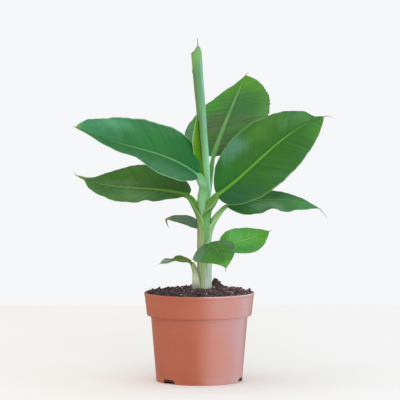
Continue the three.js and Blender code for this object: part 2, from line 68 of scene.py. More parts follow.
# Each open leaf has the same shape numbers as its CAD blade. It heads off on its bearing, climbs
# by three slopes at foot, middle and tip, is rolled about its midrib, folded into a trough and
# curled towards its margins. Colours are what shows, 0 to 255.
#   rib: the midrib's half width at foot and tip; rib_fade: where along the blade its colour fades
#   halves: left and right, each its half width, where that is, and how hard it tapers to the tip
#   tail: the length, bearing and climb of the drawn-out tip
#   ruffles: side, place along the blade, spread, lift at the margin, inset of the margin
#   lobes: how far the halves reach back at the foot; slants: a vein's run for each millimetre out
#   crimp: side, start, end, depth and pitch of a crimped margin
#   patches: along (0 to 1), across (over zero on the left), both reaches, colour, strength; some are
#       painted sheen
#   sheath: the bearing it faces, half wrap, where it starts and leaves the stem, how deep it lies
#   stalk: rise beside the stem, straight run to the blade, slope there, width, how late it narrows
#   skin: colours at foot, middle and tip; petiole: the same for the sheath and stalk; sheen: a painted
#       sheen
LEAVES = {
    "high_left": leaf_of(
        length=149.5, bearing=198, climb=(40, 15, 29), roll=-52, trough=(10, 24), curl=-6,
        rib=(1.7, 0.5), halves=((31, 0.33, 2.1), (37.5, 0.27, 0.62)), tail=(4, 198, 10),
        ruffles=[(LEFT, 0.55, 0.09, 0, 7.0), (LEFT, 0.8, 0.09, 0, -2.0),
                 (RIGHT, 0.93, 0.06, 0, -1.8), (RIGHT, 0.02, 0.07, 0, 3.0)],
        sheath=(230, 118, 150, 200, 1.6), stalk=(8, 9, 64, 8.4, 1.5),
        patches=[
            (0.14, -0.35, 0.22, 0.8, (12, 96, 22), 0.9), (0.42, -0.4, 0.2, 0.5, (34, 118, 38), 0.6),
            (0.8, -0.6, 0.26, 0.8, (68, 136, 92), 0.6), (0.3, 0.75, 0.26, 0.4, (78, 128, 80), 0.6),
            # Below, the pale bluish green patch at 0.72 along is a painted highlight, and the tip colour
            # in skin holds a painted sheen.
            (0.72, -0.75, 0.14, 0.35, (108, 176, 126), 0.7), (1.0, 0.0, 0.035, 1.5, (130, 180, 70), 0.9)],
        skin=((24, 98, 26), (44, 108, 36), (64, 134, 74)), rib_fade=(0.45, 0.8),
        midrib=(98, 162, 98), margin=(150, 196, 140), under=(96, 146, 96), sheen=(82, 144, 100),
        petiole=((122, 186, 120), (142, 206, 144), (130, 194, 130)),
        flank=(168, 160, 120), flank_at=0.35),
    "low_left": leaf_of(
        length=130, bearing=165, climb=(16, 3, 26), roll=-42, trough=(12, 12), curl=0,
        rib=(2.6, 0.5), halves=((28, 0.52, 1.4), (31.5, 0.42, 1.9)), tail=(5, 165, 50),
        ruffles=[(LEFT, 0.32, 0.05, 2.0, 1.6), (LEFT, 0.08, 0.14, 0, 3.2),
                 (LEFT, 0.915, 0.035, 0, 3.2), (RIGHT, 0.96, 0.04, 0, -1.2)],
        lobes=(-3.0, 2.6), sheath=(174, 106, 0, 162, 0.0), stalk=(16, 15, 52, 5.6, 1.3),
        patches=[
            (0.1, -0.45, 0.14, 0.7, (72, 118, 52), 0.8), (0.5, -0.6, 0.24, 0.5, (76, 134, 26), 0.8),
            # The greyish patch at 0.6 along, just above the midrib, is a painted sheen.
            (0.6, -0.12, 0.25, 0.25, (110, 140, 100), 0.6), (0.45, 0.6, 0.24, 0.6, (112, 162, 100), 0.7),
            (0.0, 0.1, 0.09, 0.6, (84, 164, 24), 0.9), (1.02, 0.0, 0.1, 1.5, (176, 204, 92), 1.0)],
        skin=((62, 110, 44), (68, 118, 52), (84, 138, 68)),
        midrib=(110, 160, 60), margin=(120, 160, 92), under=(100, 138, 86), sheen=(98, 142, 88),
        petiole=((222, 240, 176), (164, 186, 124), (84, 150, 20)),
        flank=(126, 82, 78), flank_at=-0.16, low_rim=(112, 108, 78)),
    "back_right": leaf_of(
        length=149, bearing=72, climb=(40, 35, 34), roll=0, trough=(8, 4), curl=-10,
        rib=(3.3, 0.7), halves=((42, 0.29, 1.35), (46, 0.45, 0.7)), tail=(7, 50, 50),
        tip_bend=(1.6, 0, -0.8), slants=(-0.3, 0.4), crimp=(RIGHT, 0.3, 0.82, 1.3, 6.4),
        sheath=(62, 104, 150, 182, 2.3), stalk=(22, 24, 82, 4.2, 0.8),
        patches=[
            (0.98, -0.3, 0.34, 1.4, (88, 158, 34), 0.85), (0.62, 0.95, 0.34, 0.45, (72, 164, 32), 0.9),
            (0.6, -0.95, 0.3, 0.35, (92, 158, 66), 0.7), (0.6, -0.3, 0.2, 0.5, (52, 116, 62), 0.8),
            (0.2, 0.9, 0.25, 0.4, (98, 144, 110), 0.8), (0.12, -0.6, 0.16, 0.5, (42, 84, 36), 0.8),
            (0.44, 0.75, 0.12, 0.4, (70, 150, 52), 0.7)],
        skin=((60, 120, 46), (70, 128, 56), (88, 158, 44)), rib_fade=(0.85, 1.0),
        midrib=(108, 162, 88), margin=(78, 120, 56), under=(104, 148, 92), sheen=(88, 132, 92),
        petiole=((108, 150, 92), (106, 156, 84), (104, 160, 80)),
        flank=(120, 150, 96), streaks=(114, 96, 88)),
    "big_right": leaf_of(
        length=147.5, bearing=-15, climb=(33, 41.5, 17), roll=72, trough=(8, 8), curl=-5,
        rib=(2.2, 0.6), halves=((39, 0.4, 1.0), (40, 0.48, 0.6)), tail=(12, -15, 0),
        tip_climb=24, tip_bend=(1, 0, -6.5), ruffles=[(LEFT, 0.935, 0.04, 0, 4.2)],
        sheath=(-16, 108, 120, 177, 1.2), stalk=(7, 13, 50, 7.0, 2.2),
        patches=[
            # The bluish patch at 0.31 along on the upper half is a painted sheen.
            (0.31, 0.84, 0.15, 0.36, (104, 156, 136), 0.8), (0.58, 0.66, 0.16, 0.35, (94, 150, 50), 0.5),
            (0.12, 0.35, 0.2, 0.7, (42, 130, 32), 0.6), (0.1, -0.6, 0.22, 0.8, (44, 96, 66), 0.8),
            (0.82, 0.6, 0.16, 0.5, (92, 152, 92), 0.6), (0.93, -0.8, 0.13, 0.6, (84, 150, 36), 0.75)],
        skin=((44, 104, 46), (58, 116, 40), (70, 134, 64)), rib_fade=(0.6, 0.95),
        midrib=(104, 170, 48), margin=(114, 162, 98), under=(98, 148, 84), sheen=(66, 126, 84),
        petiole=((112, 176, 116), (108, 170, 90), (92, 148, 50)), flank=(120, 160, 90)),
    "drooping_right": leaf_of(
        length=107, bearing=12, climb=(10, 0, -27), roll=32, trough=(8, 0), curl=-8,
        rib=(1.4, 0.4), halves=((18, 0.4, 1.15), (26, 0.35, 1.0)), tail=(11, 12, -52),
        tip_climb=-46, tip_bend=(1.3, 0, -3.2),
        ruffles=[(RIGHT, 0.43, 0.09, 5.0, 2.5), (RIGHT, 0.15, 0.1, -2.5, 0)],
        sheath=(4, 106, 0, 150, 0.0), stalk=(16, 15, 43, 4.4, 0.6),
        patches=[
            (0.78, 0.0, 0.14, 0.6, (82, 154, 26), 0.75), (0.5, 0.8, 0.4, 0.75, (24, 88, 16), 0.95),
            # The pale greyish patch at 0.38 along is a painted sheen.
            (0.38, -0.5, 0.24, 0.45, (132, 172, 132), 0.85), (0.1, -0.5, 0.1, 0.6, (50, 118, 56), 0.6)],
        skin=((56, 118, 44), (68, 130, 60), (62, 130, 50)),
        midrib=(100, 156, 84), margin=(104, 156, 92), under=(108, 156, 92), sheen=(76, 138, 66),
        petiole=((240, 255, 240), (158, 204, 140), (156, 200, 118)), flank=(186, 226, 178)),
    "small_left": leaf_of(
        length=43, bearing=155, climb=(36, 11, 2), roll=-18, trough=(8, 10), curl=-6,
        rib=(1.0, 0.3), halves=((9.5, 0.4, 0.8), (12.5, 0.5, 0.5)), tail=(9, 155, -80),
        tip_bend=(4.1, 0, -1.5), tip_thick=1.3,
        sheath=(120, 40, 0, 134, -0.4), stalk=(9, 10, 62, 3.6, 0.8),
        patches=[
            (0.1, 0.3, 0.25, 0.8, (62, 122, 44), 0.8), (1.0, 0.0, 0.12, 1.4, (158, 182, 104), 0.9),
            (0.5, 0.9, 0.3, 0.3, (50, 88, 56), 0.8)],
        skin=((82, 124, 80), (108, 142, 116), (96, 130, 100)),
        midrib=(124, 156, 116), margin=(112, 142, 106), under=(110, 140, 104), sheen=(122, 140, 124),
        petiole=((204, 220, 168), (124, 158, 90), (104, 146, 70)), flank=(120, 150, 90)),
    "sprout_left": leaf_of(  # its stalk has no sheath and rises from the soil
        length=35, bearing=192, climb=(22, -4, -18), roll=-14, trough=(6, 10), curl=-6,
        rib=(1.1, 0.3), halves=((12, 0.45, 0.8), (13, 0.45, 0.8)), tail=(3, 192, -35),
        ruffles=[(LEFT, 0.58, 0.14, 0, 6.5), (RIGHT, 0.58, 0.14, 0, 7.5)], lobes=(3.0, 3.8),
        sheath=None, stalk=(14, 8, 56, 5.0, 0.9), root=(-7.9, -7.5), root_width=10.5,
        patches=[
            (0.2, 0.0, 0.36, 1.2, (88, 128, 8), 0.95), (0.85, 0.0, 0.28, 1.2, (154, 178, 166), 0.9)],
        skin=((92, 126, 20), (88, 122, 46), (104, 136, 84)),
        midrib=(146, 172, 60), margin=(110, 144, 82), under=(82, 112, 56), sheen=(112, 140, 96),
        petiole=((118, 116, 86), (238, 244, 220), (184, 202, 130)), flank=(226, 230, 206)),
    "small_front": leaf_of(
        length=55, bearing=292, climb=(-8, -24, -56), roll=23, trough=(2, 4), curl=-18,
        rib=(1.2, 0.4), halves=((21, 0.34, 1.0), (27.5, 0.36, 1.5)), tail=(5, 292, -88),
        lobes=(0, 5), sheath=(310, 38, 0, 113, -0.4), stalk=(15, 12, 55, 4.2, 0.9),
        patches=[
            (0.3, -0.8, 0.3, 0.4, (108, 144, 118), 0.85), (0.75, -0.7, 0.3, 0.5, (82, 146, 40), 0.8),
            (0.3, 0.6, 0.25, 0.5, (84, 142, 76), 0.8), (0.75, 0.5, 0.2, 0.5, (74, 152, 44), 0.7),
            (0.0, 0.5, 0.08, 0.5, (78, 84, 98), 0.7), (0.97, 0.0, 0.12, 1.0, (122, 190, 92), 0.8)],
        skin=((76, 124, 72), (72, 126, 50), (74, 140, 48)), rib_fade=(0.35, 0.8),
        midrib=(88, 146, 62), margin=(106, 152, 84), under=(118, 160, 100), sheen=(96, 138, 100),
        petiole=((250, 255, 246), (196, 234, 182), (120, 166, 92)), flank=(250, 255, 246)),
    "small_right": leaf_of(
        length=60, bearing=20, climb=(8, 13, 23), roll=45, trough=(12, 4), curl=-5,
        rib=(1.3, 0.3), halves=((17.5, 0.38, 0.9), (20, 0.5, 1.1)), tail=(3, 20, 20),
        sheath=(12, 46, 0, 122, -0.4), stalk=(10, 9, 32, 4.4, 0.9),
        patches=[
            # The pale patch at 0.35 along on the upper half is a painted highlight.
            (0.35, 0.5, 0.26, 0.6, (122, 208, 122), 0.6), (0.85, -0.4, 0.2, 0.8, (108, 184, 44), 0.85),
            (0.4, -0.7, 0.3, 0.6, (82, 152, 84), 0.9), (0.07, 0.4, 0.2, 0.7, (76, 152, 40), 0.9)],
        skin=((104, 176, 54), (116, 196, 90), (118, 192, 84)),
        midrib=(146, 206, 126), margin=(112, 164, 88), under=(116, 164, 92), sheen=(108, 164, 104),
        petiole=((250, 255, 246), (190, 232, 172), (120, 172, 88)), flank=(250, 255, 246)),
}

BLADE = Values(
    thickness=0.42,
    edge_share=0.35,  # thickness left at the margin
    least_half_width=0.5,
    rows=190,
    columns=30,  # on each side of the midrib
    pleat_pitch=4.6,
    pleat_height=0.06,
    raggedness=0.3,
    groove=0.22,  # depth of the midrib's groove over its half width
    wave=0.7,  # gentle rise and fall of the margin
    full_size=120,  # a shorter leaf's waves, pleats and ragged edge are smaller
)
LIMB = Values(
    points=22,  # along the outside of a section, and as many along its inside
    sheath_rows=26,
    free_rows=34,
    rib_rows=60,
    root_angle=145,
    channel=128,  # half angle of the stalk's channel
    sheath_thickness=1.0,
    stalk_thickness=2.0,
    edge_thickness=0.3,
    smoothing=8,  # passes that round the bend where a stalk meets its blade
)
FURLED = Values(
    radii=(3.0, 4.3, 5.2, 5.5, 5.9, 6.2),
    turns=2.6,
    pitch=0.85,
    thickness=0.45,
    rows=120,
    columns=120,
    top_x=-3.2, top_z=354.5, foot_x=9.6, y=1.8,
    point_x=-0.7, point_rise=7.5, point_spread=4.0,
    edge_bearing=(222, 214, 206),  # the free edge's bearing at foot, middle and top
    nick_z=337,  # a small bulge in the free edge
)
FLAP = Values(foot_z=214, top_z=288, roll_foot_z=196, bearings=(238, 192), half_thickness=0.17)
STAGE = Values(
    table_back=0.85,
    table_size=6.0,
    wall=(0.918, 0.925, 0.945),
    # The floor's warm tint on the left and bluish tint on the right are painted light.
    table=(0.95, 0.928, 0.91), cool_table=(0.945, 0.94, 0.95),
    left_glow=0.98, right_glow=0.84,
    panel_towards=(1, -0.25, 0.15),
    left_shine=0.4, right_shine=3.0, dim_until=0.1, bright_from=0.7,
    brightness=1.12,  # what a white matt surface would show
)
CAMERA = Values(distance=3.0, height=0.376, aim=0.1975, x=0.0008, lens=248.6)


# ---- small maths -----------------------------------------------------------

def smoothstep(value, low, high):
    share = np.clip((value - low) / (high - low), 0, 1)
    return share * share * (3 - 2 * share)


def lerp(a, b, share):
    return a + (b - a) * share


def bump(value, centre, spread):
    return np.exp(-(((value - centre) / spread) ** 2))


def through(values, t):
    """The smooth curve through three values at t = 0, 0.5 and 1."""
    first, middle, last = values
    return first * (1 - t) * (1 - 2 * t) + middle * 4 * t * (1 - t) + last * t * (2 * t - 1)


def grid(*parts):
    """Parts of unlike shapes as the coordinates of one array of points."""
    return np.stack(np.broadcast_arrays(*parts), -1)


def circle(count):
    return np.linspace(0, 2 * np.pi, count, endpoint=False)


def heading(bearing, climb):
    bearing, climb = np.radians(bearing), np.radians(climb)
    level = np.cos(climb)
    return grid(level * np.cos(bearing), level * np.sin(bearing), np.sin(climb))


def unit(vectors):
    return vectors / np.linalg.norm(vectors, axis=-1, keepdims=True)


def box_of(node):
    """Lowest and highest corner of a CAD node in millimetres."""
    low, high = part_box(node)
    return np.array(low) / METRES, np.array(high) / METRES


# ---- meshes ----------------------------------------------------------------

CAP_STRIP = 0.01  # share of the bake map kept for each end cap


def skin(rings, picks=None, **layers):
    """A closed surface over rings of equally many points, each end closed by a ladder of quads.

    picks holds the material number of each column, and a layer a pair of values for each point.
    """
    rows, count = rings.shape[:2]
    half = count // 2
    row, column = np.meshgrid(np.arange(rows - 1), np.arange(count), indexing="ij")
    step = np.arange(half - 1)
    first, last = 0 * step, 0 * step + rows - 1
    groups = [
        [(row, column), (row, column + 1), (row + 1, column + 1), (row + 1, column)],
        [(first, step + 1), (first, step), (first, count - 1 - step), (first, count - 2 - step)],
        [(last, step), (last, step + 1), (last, count - 2 - step), (last, count - 1 - step)],
    ]
    rows_of = [np.stack([r.ravel() for r, _ in group], -1) for group in groups]
    columns_of = [np.stack([c.ravel() for _, c in group], -1) for group in groups]
    all_rows, all_columns = np.concatenate(rows_of), np.concatenate(columns_of)

    parts = [grid(columns_of[0] / count, CAP_STRIP + (1 - 2 * CAP_STRIP) * rows_of[0] / (rows - 1))]
    for offset, columns in ((0, columns_of[1]), (1 - 0.8 * CAP_STRIP, columns_of[2])):
        across = np.where(columns < half, columns, count - 1 - columns) / max(half - 1, 1)
        parts.append(grid(across, offset + 0.8 * CAP_STRIP * (columns >= half)))
    maps = {"OFBake": np.concatenate(parts)}
    for name, values in layers.items():
        maps[name] = np.concatenate([values, values[:, :1]], 1)[all_rows, all_columns]
    if picks is None:
        picks = np.zeros(count, int)
    chosen = np.concatenate([np.tile(picks, rows - 1), np.full(2 * len(step), picks[0])])
    faces = all_rows * count + all_columns % count
    return Values(points=rings.reshape(-1, 3), faces=faces, maps=maps, picks=chosen)


def signed_volume(points, faces):
    corners = points[faces]
    return sum(
        np.einsum("ij,ij->i", corners[:, 0], np.cross(corners[:, k], corners[:, k + 1])).sum()
        for k in range(1, faces.shape[1] - 1))


def joined(shapes):
    """Several shapes as one, without their maps."""
    faces, count = [], 0
    for shape in shapes:
        turn = 1 if signed_volume(shape.points, shape.faces) > 0 else -1
        faces.append(shape.faces[:, ::turn] + count)
        count += len(shape.points)
    faces = np.concatenate(faces)
    points = np.concatenate([shape.points for shape in shapes])
    return Values(points=points, faces=faces, maps={}, picks=np.zeros(len(faces), int))


def add_object(name, data):
    added = bpy.data.objects.new(name, data)
    bpy.context.scene.collection.objects.link(added)
    return added


def make_piece(name, shape, materials, replaces=(), sharp_angle=55):
    """A Blender object from a shape, riding on the plant's one body."""
    faces, maps = shape.faces, shape.maps
    if signed_volume(shape.points, faces) < 0:
        faces = faces[:, ::-1]
        maps = {key: values[:, ::-1] for key, values in maps.items()}
    mesh = bpy.data.meshes.new(name)
    mesh.from_pydata((shape.points * METRES).tolist(), [], faces.tolist())
    for key, values in maps.items():
        layer = mesh.uv_layers.new(name=key)
        layer.data.foreach_set("uv", values.astype(np.float32).ravel())
    for material in materials:
        mesh.materials.append(material)
    mesh.polygons.foreach_set("material_index", shape.picks.astype(np.int32))
    mesh.polygons.foreach_set("use_smooth", np.ones(len(faces), bool))
    mesh.update()
    mesh.set_sharp_from_angle(angle=math.radians(sharp_angle))
    piece = add_object(name, mesh)
    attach(piece, "root")
    if replaces:
        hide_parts(*replaces)
    return piece


# ---- materials -------------------------------------------------------------

def paint(colour):
    """The finish that shows as this display colour, 0 to 255, under the studio's light."""
    share = np.array(colour) / 255
    linear = np.where(share <= 0.04045, share / 12.92, ((share + 0.055) / 1.055) ** 2.4)
    return (*(linear / STAGE.brightness).tolist(), 1)


def feed(socket, value):
    """Links a field, paints a display colour of three numbers, or sets any other value."""
    if isinstance(value, Field):
        value.tree.links.new(value.socket, socket)
    elif socket.type == "RGBA" and len(value) == 3:
        socket.default_value = paint(value)
    else:
        socket.default_value = value


def add_node(tree, kind, inputs, output=0, **settings):
    node = tree.nodes.new(kind)
    for key, value in settings.items():
        setattr(node, key, value)
    for key, value in inputs.items():
        feed(node.inputs[key], value)
    return Field(tree, node.outputs[output])


class Field:
    """A number, point or colour that varies over a surface: each method adds a shader node."""

    def __init__(self, tree, socket):
        self.tree, self.socket = tree, socket

    def add(self, kind, inputs, output=0, **settings):
        return add_node(self.tree, kind, inputs, output, **settings)

    def maths(self, operation, a, b=0.0):
        return self.add("ShaderNodeMath", {0: a, 1: b}, operation=operation)

    def __mul__(self, other):
        return self.maths("MULTIPLY", self, other)

    def __add__(self, other):
        return self.maths("ADD", self, other)

    def __sub__(self, other):
        return self.maths("SUBTRACT", self, other)

    def __rsub__(self, other):
        return self.maths("SUBTRACT", other, self)

    def __abs__(self):
        return self.maths("ABSOLUTE", self)

    def length(self):
        return self.add("ShaderNodeVectorMath", {0: self}, "Value", operation="LENGTH")

    def axis(self, name):
        return self.add("ShaderNodeSeparateXYZ", {0: self}, name)

    def stretched(self, *scale):
        return self.add("ShaderNodeMapping", {"Vector": self, "Scale": scale}, vector_type="POINT")

    def grain(self, scale, detail=3.0, roughness=0.5):
        """Soft noise, nearly all of it between 0.3 and 0.7."""
        return self.add(
            "ShaderNodeTexNoise",
            {"Vector": self, "Scale": scale, "Detail": detail, "Roughness": roughness})

    def between(self, low, high, start=0.0, end=1.0):
        """Eases from start to end as this goes from low to high."""
        return self.add(
            "ShaderNodeMapRange",
            {"Value": self, "From Min": low, "From Max": high, "To Min": start, "To Max": end},
            interpolation_type="SMOOTHSTEP")

    def spread(self, start, end):
        """Eases from start to end over the whole range of a grain."""
        return self.between(0.3, 0.7, start, end)

    def mix(self, a, b):
        """Colour a where this is 0 and colour b where it is 1."""
        return self.add("ShaderNodeMix", {0: self, 6: a, 7: b}, 2, data_type="RGBA")

    def ramp(self, *stops):
        """Eases through colours, each with its own place between 0 and 1."""
        node = self.tree.nodes.new("ShaderNodeValToRGB")
        node.color_ramp.interpolation = "EASE"
        elements = node.color_ramp.elements
        while len(elements) < len(stops):
            elements.new(0.5)
        for element, (position, colour) in zip(elements, stops):
            element.position = position
            element.color = paint(colour)
        feed(node.inputs[0], self)
        return Field(self.tree, node.outputs[0])


def vector(x, y=0.0):
    return x.add("ShaderNodeCombineXYZ", {0: x, 1: y})


def shade(colour, amount):
    """The colour, lighter where the amount is over one and darker where it is under."""
    if isinstance(colour, tuple):
        colour = paint(colour)[:3]
    return amount.add("ShaderNodeVectorMath", {0: colour, "Scale": amount}, operation="SCALE")


class Surface:
    """A Principled material in the making. Its point is the place on the object, in metres."""

    def __init__(self, name, **fixed):
        self.material = bpy.data.materials.new(name)
        self.material.use_nodes = True
        self.tree = self.material.node_tree
        self.tree.nodes.clear()
        output = self.tree.nodes.new("ShaderNodeOutputMaterial")
        self.shader = self.tree.nodes.new("ShaderNodeBsdfPrincipled")
        self.tree.links.new(self.shader.outputs["BSDF"], output.inputs["Surface"])
        for socket, value in fixed.items():
            self.shader.inputs[socket.replace("_", " ")].default_value = value
        self.point = add_node(self.tree, "ShaderNodeTexCoord", {}, "Object")

    def axes(self, layer):
        both = add_node(self.tree, "ShaderNodeUVMap", {}, uv_map=layer)
        return both.axis("X"), both.axis("Y")

    def finish(self, colour, roughness, height=None, depth=0.0001):
        feed(self.shader.inputs["Base Color"], colour)
        feed(self.shader.inputs["Roughness"], roughness)
        if height is not None:
            normal = height.add("ShaderNodeBump", {"Height": height, "Distance": depth})
            feed(self.shader.inputs["Normal"], normal)
        return self.material


def blade_material(name, leaf, side):
    """The skin of one side of a leaf, from its two maps.

    Veins holds how far along the blade a vein starts, in millimetres, and the distance from the
    midrib over the midrib's half width. Place holds the places along and across the blade.
    """
    surface = Surface(f"{side}_{name}", Specular_IOR_Level=0.22)
    vein, from_rib = surface.axes("Veins")
    along, across = surface.axes("Place")
    out = abs(across)
    blotch = surface.point.grain(34, 4)
    slanted = vector(vein + surface.point.grain(60, 2) * 1.6)
    fine = slanted.grain(1.15, 3)
    broad = slanted.grain(0.2, 2)
    is_rib = from_rib.between(0.55, 1.15, 1, 0)

    if side == "upper":
        foot, middle, tip = leaf.skin
        colour = along.ramp((0, foot), (0.3, middle), (0.72, middle), (1, tip))
        # A painted sheen: the leaf's sheen colour, blotched in towards the margins.
        painted_sheen_share = out.between(0.35, 0.95) * blotch.between(0.42, 0.66)
        colour = (painted_sheen_share * 0.42).mix(colour, leaf.sheen)
        mottle = surface.point.grain(55, 3).spread(-0.3, 0.3)
        for along_at, across_at, long, wide, green, strength in leaf.patches:
            away = vector((along - along_at) * (1 / long), (across - across_at) * (1 / wide))
            share = (away.length() + mottle).between(0.0, 1.4, strength, 0)
            colour = (share * fine.between(0.35, 0.65, 0.4, 1.25)).mix(colour, green)
        colour = blotch.between(0.4, 0.62).mix(
            shade(colour, broad.spread(0.95, 1.05)), shade(colour, broad.spread(0.82, 1.15)))
        colour = shade(colour, fine.spread(0.88, 1.12))
        beside_rib = from_rib.between(1.0, 4.5, 1, 0)
        colour = shade(colour, beside_rib.between(0, 1, 1, 0.88))
        if leaf.streaks:
            low = along.between(0.0, 0.1) * along.between(0.42, 0.58, 1, 0)
            near = out.between(0.5, 0.95, 1, 0)
            bent = vector(vein + surface.point.grain(26, 3) * 14)
            stripes = bent.grain(0.62, 4).between(0.44, 0.58) * blotch.between(0.42, 0.6, 0.2, 1.0)
            streak = bent.grain(0.31, 2).between(0.44, 0.6).mix(leaf.streaks, (48, 78, 40))
            colour = (low * near * stripes).mix(colour, streak)
        rib_strength = along.between(*leaf.rib_fade, 1, 0.15)
        gloss = 0.4
    else:
        colour = shade(leaf.under, broad.spread(0.92, 1.08))
        colour = shade(colour, fine.spread(0.93, 1.07))
        rib_strength = 0.9
        gloss = 0.58
    colour = (is_rib * rib_strength).mix(colour, shade(leaf.midrib, blotch.spread(0.93, 1.07)))
    colour = (out.between(0.955, 0.985) * 0.8).mix(colour, leaf.margin)
    drying = (along + blotch * 0.03).between(0.985, 1.015)
    colour = (drying * 0.7).mix(colour, (150, 150, 74))
    height = fine * (1.0 - is_rib) + surface.point.grain(2600, 2) * 0.3
    return surface.finish(colour, blotch.spread(gloss - 0.05, gloss + 0.09), height, 0.00016)


def limb_material(name, leaf):
    """The skin of a sheath, its stalk and the midrib's keel, from the Place map: the way from
    the foot of the sheath (0) to the blade (1) and the tip (2), and the place across."""
    surface = Surface(f"stalk_{name}", Specular_IOR_Level=0.35)
    along, across = surface.axes("Place")
    low, middle, high = leaf.petiole
    colour = (along * 0.5).ramp((0.0, low), (0.25, middle), (0.46, high), (0.56, leaf.midrib))
    fibres = vector(across * 9.0, along * 2.2).grain(1.6, 4)
    blotch = surface.point.grain(70, 3)
    flank = abs(across - leaf.flank_at).between(0.06, 0.34, 1, 0) * along.between(0.75, 1.0, 1, 0)
    colour = (flank * 0.75).mix(colour, leaf.flank)
    colour = shade(colour, fibres.spread(0.86, 1.12))
    colour = shade(colour, blotch.spread(0.93, 1.07))
    rim = abs(across).between(0.86, 0.97) * along.between(0.95, 1.05, 1, 0)
    rim_colour = along.between(0.62, 0.74).mix(leaf.low_rim, (190, 214, 160))
    colour = (rim * 0.7).mix(colour, rim_colour)
    speck = surface.point.grain(520, 2).between(0.66, 0.72)
    colour = (speck * 0.25).mix(colour, (120, 98, 70))
    return surface.finish(colour, blotch.spread(0.4, 0.52), fibres, 0.00018)


def core_material():
    surface = Surface("stem_core", Specular_IOR_Level=0.4)
    streak = surface.point.stretched(900, 900, 40).grain(1, 3)
    colour = streak.between(0.35, 0.65).mix((120, 160, 90), (160, 190, 130))
    return surface.finish(colour, 0.5, streak, 0.0001)


def furled_material():
    """Green, paler on the right and darker on the left, partly painted light and shade; yellow-green at
    the top.
    """
    surface = Surface("furled_leaf_skin", Specular_IOR_Level=0.32)
    along, turn = surface.axes("Place")
    veins = vector(along * 42.0 + turn * 9.0, turn * 2.0).grain(1.8, 3)
    fibres = vector(turn * 46.0, along * 3.0).grain(1.0, 3)
    blotch = surface.point.grain(60, 3)
    # Turns count back from the free edge at the front left, so a sixth of a turn is the front.
    # The ramp's pale turns on the right and darker turns on the left are partly painted light and shade.
    colour = turn.ramp(
        (0.0, (122, 158, 114)), (0.08, (112, 152, 98)), (0.2, (114, 174, 118)),
        (0.32, (146, 198, 160)), (0.44, (156, 202, 170)), (0.6, (124, 156, 120)),
        (0.9, (116, 140, 106)), (1.0, (112, 146, 104)))
    colour = shade(colour, fibres.between(0.35, 0.65, 0.82, 1.15))
    colour = shade(colour, blotch.spread(0.94, 1.06))
    colour = shade(colour, along.between(0.15, 0.6, 1.6, 0.86))
    fresh = (along + blotch * 0.04).between(0.88, 1.0)
    colour = (fresh * 0.85).mix(colour, (128, 178, 94))
    edge = turn.between(0.004, 0.03, 1, 0)
    colour = (edge * 0.7).mix(colour, (176, 210, 150))
    return surface.finish(colour, blotch.spread(0.4, 0.5), fibres + veins * 0.5, 0.00014)


def flap_material():
    """The loose edge of the rolled leaf: bright at its margin, partly painted light shining through, and
    dark olive deep inside, a painted shade next to the roll.
    """
    surface = Surface("furled_flap_skin", Specular_IOR_Level=0.1)
    along, across = surface.axes("Place")
    # Painted shade: dark olive deep in the cup beside the roll; the pale part near the margin is partly
    # painted light shining through.
    deep = across.ramp((0.0, (44, 80, 6)), (0.35, (78, 128, 4)), (1.0, (96, 156, 14)))
    olive = along.between(0.2, 0.5).mix((80, 146, 6), deep)
    pale = across.ramp((0.0, (72, 122, 30)), (0.9, (108, 164, 70)), (1.0, (170, 204, 140)))
    high = along.between(0.5, 0.7) * across.between(0.56, 0.8)
    colour = across.between(0.93, 0.98).mix(high.mix(olive, pale), (184, 214, 150))
    veins = vector(along * 30.0 + across).grain(1.2, 3)
    colour = shade(colour, veins.spread(0.9, 1.1))
    return surface.finish(colour, surface.point.grain(80).spread(0.42, 0.55), veins, 0.00012)


def bristle_material():
    surface = Surface("drying_tip", Specular_IOR_Level=0.3)
    grain = surface.point.grain(900, 3)
    colour = grain.between(0.35, 0.65).mix((126, 112, 78), (158, 148, 118))
    return surface.finish(colour, grain.spread(0.6, 0.8), grain, 0.0001)


def pot_material():
    """Satin plastic with faint rings from turning, dust, a painted highlight along the lip and painted
    shade in its notches.
    """
    surface = Surface("pot_plastic", IOR=1.6)
    point = surface.point
    height_up, rightness = point.axis("Z"), point.axis("X")
    rings = point.stretched(6, 6, 760).grain(1, 3)
    blotch = point.grain(26, 4)
    colour = shade((196, 90, 46), blotch.spread(0.96, 1.04))
    colour = shade(colour, rings.spread(0.97, 1.03))
    dust = height_up.between(0.0, 0.012, 1, 0) * blotch.between(0.45, 0.6)
    colour = (dust * 0.25).mix(colour, (196, 150, 128))
    top, foot = POT.height * METRES, POT.foot_radius * METRES
    # A painted highlight: a pale line along the top of the lip on the right.
    painted_lip_highlight = height_up.between(top - 0.0014, top - 0.0003) * rightness.between(-0.004, 0.016)
    colour = (painted_lip_highlight * 0.55).mix(colour, (240, 210, 206))
    from_axis = vector(rightness, point.axis("Y")).length()
    # Painted shade: the insides of the notches are darkened to a deep brown, with their reflections
    # turned down.
    in_notch = height_up.between(0.0001, 0.0004) * height_up.between(0.0055, 0.006, 1, 0)
    painted_notch_shade = from_axis.between(foot - 0.0011, foot - 0.0006, 1, 0) * in_notch
    colour = (painted_notch_shade * 0.95).mix(colour, (74, 30, 20))
    feed(surface.shader.inputs["Specular IOR Level"], painted_notch_shade.between(0.0, 1.0, 1.0, 0.0))
    height = rings + point.grain(3200, 2) * 0.35
    return surface.finish(colour, blotch.spread(0.36, 0.46), height, 0.00004)


